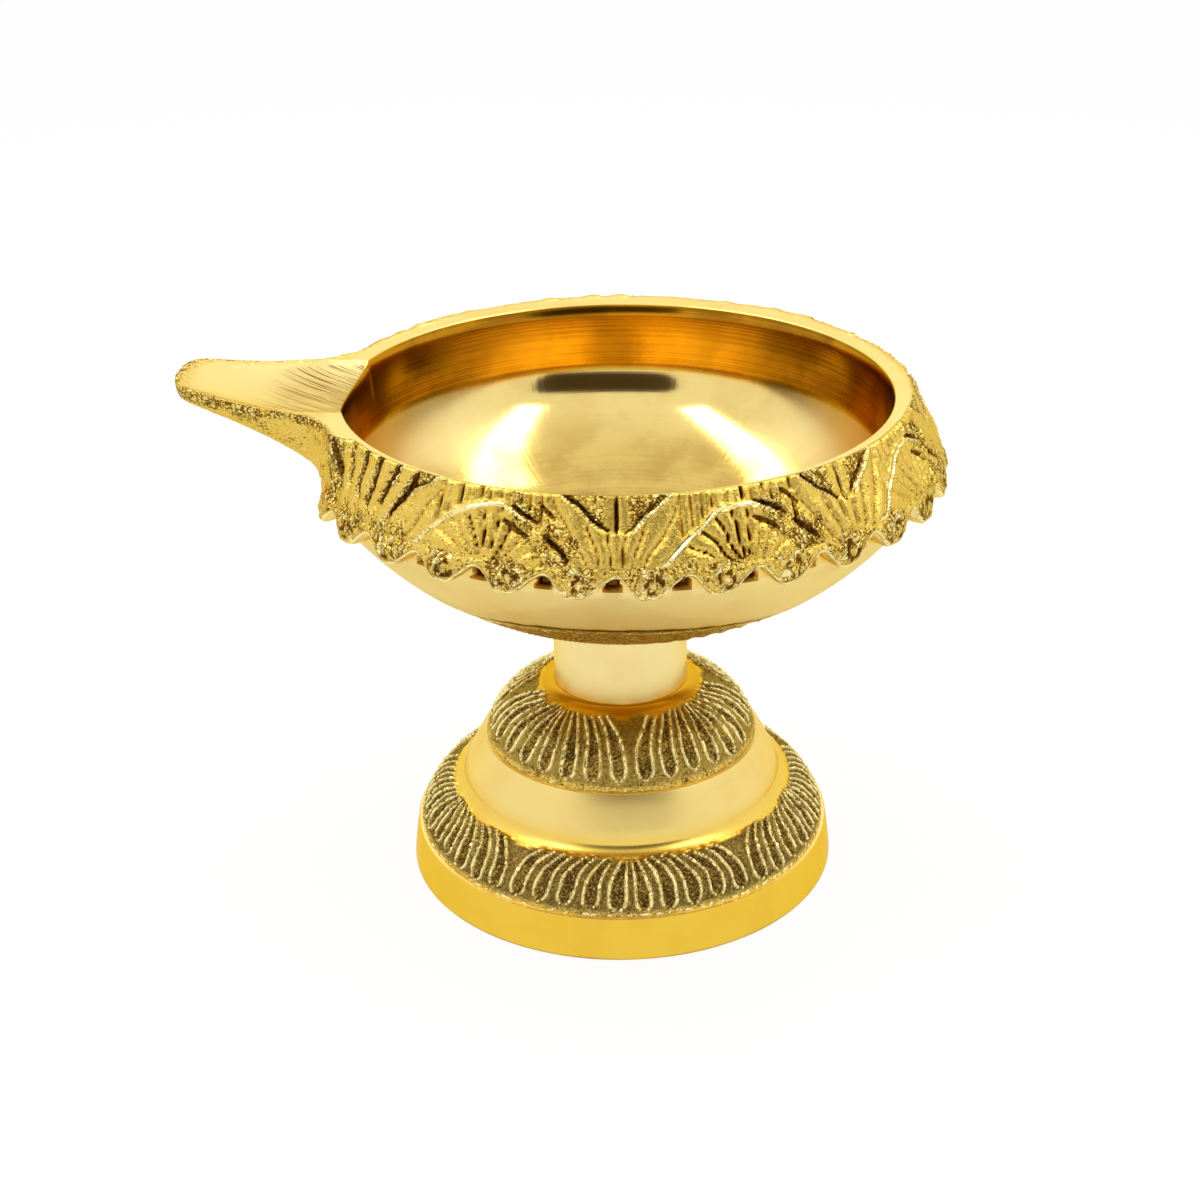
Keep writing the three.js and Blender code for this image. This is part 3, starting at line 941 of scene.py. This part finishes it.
# Ragged rosette on a lobe: height in mm, crest and groove
def rosette(angle, up):
    look = hemLook
    pitch = 360 / look["lobes"]
    off = (angle - look["phase"] + pitch / 2) % pitch - pitch / 2
    lobe = round((angle - look["phase"]) / pitch)
    x = math.radians(off) * look["radius"]
    distance = math.hypot(x, up)
    if distance > 3.4:
        return 0.0, 0.0, 0.0
    ragged = noise.noise(Vector((x * 0.9, up * 0.9, lobe * 3.7)))
    fine = noise.noise(Vector((x * 1.9, up * 1.9, lobe * 5.1 + 20)))
    ring = ridge(distance - look["ring"] - ragged * 1.1, look["ringWidth"]) * (0.7 + fine * 1.2)
    middle = ridge(distance - 0.1, 0.45) * (0.5 + ragged)
    crest = min(max(ring, middle, 0.0), 1.0)
    cavity = ridge(distance - 0.9 - fine * 0.6, 0.42) * eased(ragged + fine, -0.35, 0.30) * (1 - crest)
    outside = ridge(distance - 2.4, 0.4) * eased(fine, 0.0, 0.3) * 0.7
    return look["ringHeight"] * (crest - cavity - outside * 0.5), crest, min(cavity * 1.2 + outside, 1.0)


# A gouge that tapers to both ends of a run
def cut(distance, along, start, end, width):
    if not start < along < end:
        return 0.0
    share = (along - start) / (end - start)
    return ridge(distance, width * math.sqrt(4 * share * (1 - share)))


# Where a spot lies among leaves that fan out from a point: which leaf, 0 in its middle to 1 at its edge, and
# half a leaf's width in mm there
def fanLeaf(x, up, angle):
    lean = math.degrees(math.atan2(x, up)) / angle
    return lean, abs(lean - round(lean)) * 2, math.radians(angle / 2) * math.hypot(x, up)


# Line of an arch, its painted highlight dimmed on its right side as painted shade, and gouged along it: how
# far above it a spot lies, crest, how pitted the skin is, and groove
def archLine(x, up, arch):
    look = skirtLook
    chance = noise.noise(Vector((arch, 3.3, 1.7)))
    half, tall = look["archHalf"], look["archHeight"] + chance * 0.5
    out = min(abs(x), half) / half
    archTop = tall * (1 - out ** 1.8)
    slope = 1.8 * tall / half * out ** 0.8
    toArch = (up - archTop) / math.hypot(1, slope) if abs(x) < half + 1 else 9.0
    # past the arch's middle its line loses its painted highlight: painted shade on its right side
    flank = eased(x, 1.2, 3.5)
    crest = ridge(toArch, look["archLine"]) * (1 - (0.75 + chance * 0.4) * flank)
    crest = max(crest, cut(toArch, x, 2.0, 4.6, 0.22), cut(toArch - 1.0, x, 2.6, 5.0, 0.18) * 0.8)
    groove = max(cut(toArch - above, x, *run) for above, *run in look["gouges"])
    pitted = 0.08 + 0.50 * flank * (1 - eased(abs(toArch), 1.6, 3.0))
    return toArch, crest, pitted, groove


# Tall leaves beside the spout, with deep gaps between them: height, crest, how pitted, and groove
def palmLeaves(x, up, arch):
    lean, inLeaf, width = fanLeaf(x, up + 7.0, skirtLook["palmLeaf"])
    chance = noise.noise(Vector((math.floor(lean) * 3.7, arch, 6.0)))
    gap = eased(inLeaf, 0.50, 0.75) * eased(up + 3 * chance, 1.0, 3.0)
    rise = 0.7 * (1 - 0.5 * inLeaf ** 2) - 1.2 * gap
    crest = ridge((inLeaf - 0.56) * width, 0.2) * (0.6 + chance)
    groove = ridge((inLeaf - 0.9) * width, 0.30) * gap * (0.9 + chance)
    pitted = 0.22 + 0.6 * gap + 0.6 * eased(x, 5.0, 8.0) + 0.35 * (1 - eased(up, 0.5, 3.0))
    return rise, crest, pitted, groove


# Leaves under an arch: height and groove
def archLeaves(x, up, arch):
    lean, inLeaf, width = fanLeaf(x, up + 1.6, skirtLook["leafAngle"])
    deep = 0.25 + 0.6 * eased(noise.noise(Vector((round(lean) * 2.3, arch, 6.0))), 0.0, 0.3)
    return 0.55 * (1 - inLeaf ** 2.5), ridge((1 - inLeaf) * width, 0.16) * deep


# Ribs above an arch: height and groove
def archRibs(x, toArch, arch):
    ribWidth = skirtLook["ribWidth"]
    rib = x / ribWidth
    inRib = abs(rib - round(rib)) * 2
    deep = 0.35 + 0.6 * eased(noise.noise(Vector((round(rib + 0.5) * 1.7, arch, 2.0))), -0.1, 0.3)
    return 0.5 * (1 - inRib ** 2), ridge((1 - inRib) * ribWidth / 2, 0.15) * deep * eased(toArch, 0.2, 0.9)


# Lotus between two arches, of two leaves that lean out to the rim with a pitted wedge between them: height,
# crest, how pitted, and groove
def lotusLeaves(x, up, pitted):
    look = skirtLook
    fromCentre = abs(x) - look["lotusFrom"]
    out = abs(fromCentre)
    wedge = 3.7 + look["wedgeSlope"] * max(out - 0.8, 0)
    toLeaf = (up - wedge) / math.hypot(1, look["wedgeSlope"])
    if toLeaf > 0:
        middleLeaf = ridge(fromCentre + 0.75, 0.6)
        pitted = 0.7 * (1 - middleLeaf)
        groove = cut(fromCentre - 0.1, up, wedge + 0.2, 8.8, 0.28)
        rise = -0.40 * eased(toLeaf, 0.0, 0.5) + (middleLeaf * 0.4 - groove * 0.8)
    else:
        _, inBlade, width = fanLeaf(fromCentre, up + 5.0, look["bladeAngle"])
        groove = ridge((1 - inBlade) * width, 0.17) * 0.45
        rise = 0.55 * (1 - inBlade ** 2)
    # painted highlight along the leaves' edge, stronger on the left leaf; the dark cut along the edge is
    # deeper on the right
    crest = ridge(toLeaf + 0.10, 0.22) * eased(out, 1.2, 2.4) * (0.9 if x < 0 else 0.6)
    edge = cut(toLeaf - 0.32, out, 0.6, 7.4, 0.27) * (1.0 if x > 0 else 0.6)
    return rise, crest, pitted, max(groove, edge)


# Relief of the skirt between hem and rim. Arches with fanned leaves stand on the hem, ribs rise above them,
# and a lotus opens between each two. up is the distance in mm above the hem. Gives height in mm, crest, how
# pitted the skin is, and groove.
def skirtRelief(angle, up):
    look = skirtLook
    spot = Vector((math.radians(angle) * 14, up * 0.35, 2.0))
    sway = noise.noise(spot) * look["wobble"]
    arch = min(look["arches"], key=lambda centre: abs((angle - centre + 180) % 360 - 180))
    up += noise.noise(spot + Vector((0, 0, 9))) * look["wobble"]
    if abs(angle) > look["palmFrom"]:
        x = math.radians(abs(angle) - look["palmCentre"]) * look["radius"] + sway
        rise, crest, pitted, groove = palmLeaves(x, up, arch)
    else:
        x = math.radians((angle - arch + 180) % 360 - 180) * look["radius"] + sway
        toArch, crest, pitted, groove = archLine(x, up, arch)
        if toArch < 0:
            rise, vein = archLeaves(x, up, arch)
            pitted += 0.35 * (1 - eased(up, 0.3, 2.6))
        elif abs(x) < look["ribsHalf"]:
            rise, vein = archRibs(x, toArch, arch)
        else:
            rise, leafCrest, pitted, vein = lotusLeaves(x, up, pitted)
            crest = max(crest, leafCrest)
        groove = max(groove, vein)
    groove *= 1 - crest
    rise = (max(rise, crest * 1.15) - groove) * eased(up, -0.3, 0.9)
    return rise * look["relief"], crest, max(pitted, 0.42 * (1 - eased(up, 0.2, 1.6))), min(groove, 1.0)


# Ring of slanted curls round the belly's foot, left as cast inside a polished edge that isn't round
def bellyRelief(angle, radius):
    look = bellyLook
    turned = math.radians(angle)
    edge = look["edge"] + look["edgeFront"] * max(-math.sin(turned), 0) ** 2
    edge += 0.25 * noise.noise(Vector((turned * 8, 1.0, 0)))
    skin = 1 - eased(radius, edge - 0.35, edge)
    if skin == 0:
        return 0.0, {"mirror": look["brushed"]}
    slant = turned * look["curls"] / math.tau + (radius - 30) * look["slant"]
    inCurl = abs(slant - round(slant)) * 2
    curls = ridge((1 - inCurl) * radius * math.pi / look["curls"], look["curlWidth"])
    curls *= 1 - eased(radius, edge - 2.8, edge - 2.0)
    crest = max(ridge(radius - edge + 1.5, look["edgeLine"]), curls * eased(radius, 17, 21))
    ragged = 0.75 + noise.noise(Vector((turned * 20, radius, 4.0))) * 0.9
    groove = max(0.8 * ridge(radius - edge + 0.6, look["edgeLine"]), 0.28 * (1 - crest) * skin)
    marks = {
        "cast": skin, "crest": crest * ragged * 0.85 * skin, "patina": 0.3 * (1 - crest) * skin,
        "pitted": 0.6 * skin, "groove": groove, "warm": 0.7 * skin, "mirror": look["brushed"],
    }
    return (look["curlHeight"] * crest - look["sunk"]) * skin, marks


def carveBelly(row, way):
    angle = math.degrees(math.atan2(way.y, way.x))
    rise, marks = bellyRelief(angle, row["radius"])
    radius = row["radius"] + row["outward"].x * rise
    centred = eased(row["along"], 0.0, 0.25)
    reach = radius + (castReach(radius, way) - radius) * centred
    return reach, row["height"] + row["outward"].y * rise, marks


# The hem's hollow underside, cut into by a hole at each notch that narrows upwards, the holes painted dark as
# shade
def carveRecess(row, way, start):
    look = hemLook
    angle = math.degrees(math.atan2(way.y, way.x))
    climb, gap = lobeClimb(angle), hemGap(angle)
    half = look["holeHalf"] * (1.25 - 0.6 * row["along"])
    inside = (1 - eased(holeOff(angle), half * 0.75, half * 1.25)) * (1 - gap)
    radius = row["radius"] - look["holeDepth"] * inside * eased(row["along"], 0.0, 0.25)
    height = start + (look["bottom"] + look["notchRise"] * climb * (1 - gap) - 0.05 - start) * row["along"]
    # the holes are painted dark as shade, and warm as painted reflection
    marks = {"groove": 0.85 * inside, "cast": inside, "warm": 0.25}
    return castReach(radius, way), height, marks


def carveHem(row, way):
    look = hemLook
    angle = math.degrees(math.atan2(way.y, way.x))
    climb, gap = lobeClimb(angle), hemGap(angle)
    up = row["along"]
    edge = look["bottom"] + look["notchRise"] * climb * (1 - gap)
    share = (row["height"] - look["bottom"]) / (look["top"] - look["bottom"])
    height = edge + (look["top"] - edge) * share
    radius = row["radius"] - look["gapTuck"] * gap * eased(up, -0.2, 0.6)
    radius -= look["lobeIn"] * climb * (1 - gap) * (1 - eased(up, 0.30, 1.0))
    radius += look["lobeOut"] * (1 - climb) * (1 - gap) * math.sin(math.pi * up)
    wobble = noise.noise(Vector((way.x * 30, way.y * 30, 4.0))) * 0.2
    over = height - edge - 0.42 + wobble - 0.25 * climb
    line = ridge(over, look["lineWidth"]) * (1 - gap)
    skin = eased(over, -0.30, 0.0)
    rise, crest, groove = rosette(angle, height - look["rosetteHeight"])
    rise, crest, groove = (value * (1 - gap) * skin for value in (rise, crest, groove))
    spot = Vector((way.x * radius, way.y * radius, height))
    rough = noise.noise(spot * 1.3) * 0.16 * skin
    lift = max(rise, line * look["lineHeight"]) + rough * eased(up, 0.15, 0.3)
    pitted = skin * (1 - gap) * (0.46 + 0.16 * (1 - climb))
    marks = {
        "cast": skin, "crest": max(line * 0.9, crest * 0.75), "pitted": pitted,
        # warm at the hem's foot is painted reflection
        "warm": 0.25 * (1 - eased(up, 0.2, 0.5)), "groove": groove * (1 - line) * 0.8,
    }
    return castReach(radius + row["outward"].x * lift, way), height + row["outward"].y * lift, marks


def carveSkirt(row, way, angle, profile):
    look = bowlLook
    last = len(profile) - 1
    step = round(row["along"] * last)
    reach, height = profile[step]
    before, after = profile[max(step - 1, 0)], profile[min(step + 1, last)]
    slope = Vector((after[0] - before[0], after[1] - before[1])).normalized()
    cast = way * reach - look["castShift"]
    onSpout = eased(spoutLook["sideAngle"] - abs(angle), 0, 5)
    castAngle = math.degrees(math.atan2(cast.y, cast.x))
    rise, crest, pitted, groove = skirtRelief(castAngle, height - hemLook["top"])
    spot = Vector((cast.x, cast.y, height))
    rough = noise.noise(spot * 0.9) * look["castNoise"] + noise.noise(spot * 2.3) * look["castNoise"] * 0.8
    plain = 1 - onSpout
    topFade = 1 - eased(row["along"], 0.96, 1.0)
    lift = (rise * plain + rough * (1 - 0.5 * onSpout)) * topFade
    if step == last:
        height -= 0.08
    edgePits = 0.4 * eased(row["along"], 0.80, 0.93)
    pitted = pitted * plain + (look["spoutPitted"] + edgePits) * onSpout
    marks = {"cast": 1.0, "crest": crest * plain * 0.9, "pitted": pitted, "groove": groove * plain * topFade}
    height = height - slope.x * lift + rimBump(way) * eased(row["along"], 0.8, 1.0)
    return reach + slope.y * lift, height, marks


# The cast edge of the rim stands a little proud here and there round the back
def rimBump(way):
    look = bowlLook
    wave = noise.noise(Vector((way.x * 5.0, way.y * 5.0, 11.0)))
    wave += 0.6 * noise.noise(Vector((way.x * 15, way.y * 15, 2)))
    return look["rimBump"] * eased(wave, -0.1, 0.5) * eased(way.y, 0.0, 0.5)


# 1 on a stretch of the spout, which sets in over one pair of reaches and fades over another
def stretch(x, start, end):
    return eased(-x, *start) * (1 - eased(-x, *end))


# Rim land and top of the spout: the land beside the channel and the rim's back edge keep some cast skin, and
# the channel is darkened along its file marks, partly as painted shade of the trough
def carveTop(row, way, profile):
    look = bowlLook
    edge = profile[-1][0] - 0.10
    inner = look["boreRadius"] + look["boreChamfer"]
    reach = edge + (inner - edge) * row["along"]
    x, y = way * reach
    trough = inChannel(x, y)
    streak = eased(trough, 0.0, 0.2) * stretch(x, *spoutLook["fileMarks"])
    height = topHeight(x, y) + rimBump(way) * (1 - eased(row["along"], 0.0, 0.35))
    land = stretch(x, *spoutLook["castLand"]) * (1 - eased(trough, 0.0, 0.06))
    skin = max(0.55 * land, (1 - eased(row["along"], 0.12, 0.35)) * eased(way.y, 0.0, 0.4))
    return reach, height, {"groove": 0.55 * streak, "film": 0.25 * streak, "cast": skin, "pitted": 0.3}


def carveBore(row, way):
    look = bowlLook
    reach, height, zone = row["radius"], row["height"], row["zone"]
    # Painted light on the wall: lighter patches where the lamps shine in, and painted shade darker towards
    # both sides
    litPatches = sum(ridge(way.x - place, width) for place, width in look["litPatches"])
    film = look["wallFilmAndShade"] - 0.20 * litPatches + 0.25 * abs(way.x) ** 1.5
    marks = {"warm": 1.0, "film": film, "mirror": 0.75}
    if zone == "chamfer":
        height = topHeight(*(way * reach)) - look["boreChamfer"]
        marks["film"] = 0.9
    elif zone == "wall":
        start = topHeight(*(way * look["boreRadius"])) - look["boreChamfer"]
        height = start + (look["boreFoot"] - start) * row["along"]
    else:
        wall = 1 - eased(row["along"], 0.0, 0.04)
        # The floor's outer ring, and more its brushed sides, are painted lighter: painted light of what the
        # floor mirrors
        outer = (1 - wall) * (1 - eased(row["along"], 0.2, 0.5))
        brushed = outer * eased(abs(way.x), *look["brushed"])
        film = film * wall + look["floorFilmAndShade"] * (1 - wall) - 0.30 * outer - 0.10 * brushed
        warm = look["floorReflectionTint"] + (1 - look["floorReflectionTint"]) * wall - 0.08 * outer - 0.1 * brushed
        marks = {"warm": warm, "film": film, "mirror": 1.0 - 0.25 * wall - 0.9 * brushed}
    return reach, height, marks


def carveBowl(form, rows):
    look = bowlLook
    rowLayer = form.verts.layers.int["row"]
    layers = newLayers(form)
    skirtCount = sum(row.get("zone") == "skirt" for row in rows)
    hemTop = lastRow(rows, "hem")
    bellyTop = lastRow(rows, "belly")["height"]
    profiles = {}
    for corner in form.verts:
        row = rows[corner[rowLayer]]
        zone = row.get("zone")
        if zone is None or corner.co.xy.length < 1e-6:
            continue
        back = math.atan2(-corner.co.y, -corner.co.x)  # 0 along the spout
        angle = back * (1 - look["spoutGather"] * ridge(math.degrees(back), look["gatherAngle"]))
        way = Vector((-math.cos(angle), -math.sin(angle)))
        key = round(angle, 5)
        if key not in profiles:
            tuck = hemLook["gapTuck"] * hemGap(math.degrees(math.atan2(way.y, way.x)))
            hem = castReach(hemTop["radius"] - tuck, way)
            profiles[key] = sideProfile(way, hem, hemTop["height"], skirtCount)
        if zone == "belly":
            reach, height, marks = carveBelly(row, way)
        elif zone == "recess":
            reach, height, marks = carveRecess(row, way, bellyTop)
        elif zone == "hem":
            reach, height, marks = carveHem(row, way)
        elif zone == "skirt":
            reach, height, marks = carveSkirt(row, way, math.degrees(angle), profiles[key])
        elif zone == "top":
            reach, height, marks = carveTop(row, way, profiles[key])
        else:
            reach, height, marks = carveBore(row, way)
        height += look["rimLean"] * way.y * eased(height, look["leanFoot"], look["rimHeight"])
        corner.co = (way.x * reach, way.y * reach, height)
        for name, mark in marks.items():
            corner[layers[name]] = mark


bowlBrass = paintBrass("bowlBrass")


def makeBowl():
    rows = bowlRows()
    form = spinRows(rows, bowlLook["sectors"], bowlLook["sectorSteps"])
    carveBowl(form, rows)
    settle(form, "bowlCasting", "bowl", "bowl", bowlBrass)


makeBowl()


# Joining stud: turned rod with a right-hand thread, hidden until the bowl is unscrewed

studLook = {
    "radius": 4.0,
    "pitch": 1.25,
    "threadDepth": 0.7,
    "rowSpacing": 0.125,
    "sectors": 12,
    "sectorSteps": 4,
    "runOut": 0.9,  # mm at each end over which the thread dies out
    "chamfer": (0.3, 0.15),  # mm in and up at both ends
}

studLow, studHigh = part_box("joining_stud")


def carveThread(form):
    look = studLook
    bottom, top = studLow[2] / mm, studHigh[2] / mm
    groove = form.verts.layers.float.new("groove")
    for corner in form.verts:
        radius = corner.co.xy.length
        if radius < look["radius"] - look["threadDepth"] - 0.1:
            continue
        turned = math.atan2(corner.co.y, corner.co.x) / math.tau
        phase = (corner.co.z / look["pitch"] - turned) % 1
        crest = eased(1 - abs(phase * 2 - 1), 0.12, 0.88)
        crest *= eased(min(corner.co.z - bottom, top - corner.co.z), 0, look["runOut"])
        corner.co.xy *= (look["radius"] - look["threadDepth"] * (1 - crest)) / radius
        corner[groove] = 1 - crest


studBrass = paintBrass("studBrass")


def makeStud():
    look = studLook
    bottom, top = studLow[2] / mm, studHigh[2] / mm
    core = look["radius"] - look["threadDepth"]
    inward, upward = look["chamfer"]
    rows = outlineRows(bottom, [
        (core - inward, bottom, 2, {}),
        (core, bottom + upward, 0.3, {}),
        (core, top - upward, look["rowSpacing"], {}),
        (core - inward, top, 0.3, {}),
        (0.0, top, 2, {}),
    ])
    form = spinRows(rows, look["sectors"], look["sectorSteps"])
    carveThread(form)
    settle(form, "joiningStud", "stud", "joining_stud", studBrass)


makeStud()
